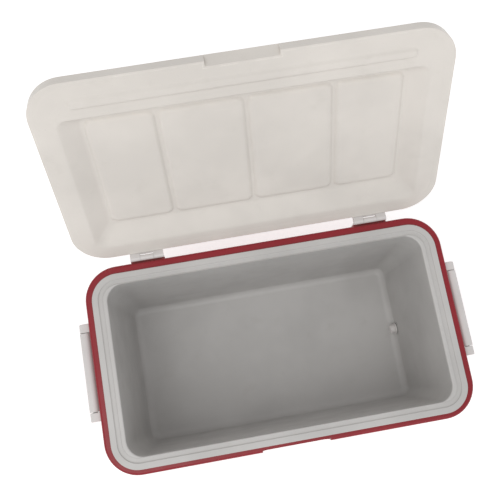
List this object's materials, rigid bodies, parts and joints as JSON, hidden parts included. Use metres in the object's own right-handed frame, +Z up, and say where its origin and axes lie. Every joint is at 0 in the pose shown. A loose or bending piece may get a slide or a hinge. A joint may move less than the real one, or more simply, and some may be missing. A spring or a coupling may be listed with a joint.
{
  "type": "wheeled cooler",
  "caption": "Hard-sided insulated chest with a hinged lid standing open, a swing handle at each end, a floor-level drain and wheels in arches under one end.",
  "frame": {"origin": "centre of the outer shell's flat underside, 14 mm above the floor the chest stands on", "axes": "+X along the length towards the drain end, with the wheels at the -X end; +Y towards the hinges; +Z up"},
  "size_m": [0.696, 0.594, 0.6538],
  "materials": {
    "shell_red": "satin",
    "liner_white": "satin",
    "lid_white": "satin",
    "handle_white": "satin",
    "hinge_white": "satin",
    "fitting_white": "satin",
    "foam": "matte",
    "rubber_grey": "matte",
    "wheel_black": "satin",
    "foot_black": "matte",
    "steel": "satin"
  },
  "bodies": {
    "body": {"outer_shell": "shell_red", "inner_liner": "liner_white", "foam_core": "foam", "drain_spout": "fitting_white", "drain_gasket": "rubber_grey", "drain_nut": "fitting_white", "hinge_shell_leaf_left": "hinge_white", "hinge_shell_leaf_right": "hinge_white", "hinge_pin_left": "steel", "hinge_pin_right": "steel", "handle_bracket_left_front": "handle_white", "handle_bracket_left_rear": "handle_white", "handle_bracket_right_front": "handle_white", "handle_bracket_right_rear": "handle_white", "axle": "steel", "axle_sleeve": "fitting_white", "axle_cap_front": "wheel_black", "axle_cap_rear": "wheel_black", "foot_front": "foot_black", "foot_rear": "foot_black", "hinge_shell_screws": "steel", "handle_bracket_screws": "steel", "foot_screws": "steel"},
    "lid": {"lid_outer_shell": "lid_white", "lid_inner_panel": "lid_white", "lid_foam": "foam", "hinge_lid_leaf_left": "hinge_white", "hinge_lid_leaf_right": "hinge_white", "hinge_lid_screws": "steel"},
    "handle_left": {"handle_left": "handle_white"},
    "handle_right": {"handle_right": "handle_white"},
    "wheel_front": {"wheel_front": "wheel_black"},
    "wheel_rear": {"wheel_rear": "wheel_black"},
    "drain_plug": {"drain_plug": "fitting_white"}
  },
  "joints": [
    {"name": "lid_hinge", "type": "hinge", "parent": "body", "child": "lid", "pos_m": [0, 0.1905, 0.326], "axis": [1, 0, 0], "range_deg": [0, 122]},
    {"name": "handle_left_swing", "type": "hinge", "parent": "body", "child": "handle_left", "pos_m": [-0.338, 0.004, 0.306], "axis": [0, 1, 0], "range_deg": [-3, 180]},
    {"name": "handle_right_swing", "type": "hinge", "parent": "body", "child": "handle_right", "pos_m": [0.338, 0.004, 0.306], "axis": [0, -1, 0], "range_deg": [-3, 180]},
    {"name": "wheel_front_spin", "type": "hinge", "parent": "body", "child": "wheel_front", "pos_m": [-0.27716, -0.165, 0.031], "axis": [0, 1, 0], "continuous": true},
    {"name": "wheel_rear_spin", "type": "hinge", "parent": "body", "child": "wheel_rear", "pos_m": [-0.27716, 0.165, 0.031], "axis": [0, 1, 0], "continuous": true},
    {"name": "drain_plug_pull", "type": "slide", "parent": "body", "child": "drain_plug", "axis": [-1, 0, 0], "range_m": [0, 0.02]}
  ]
}
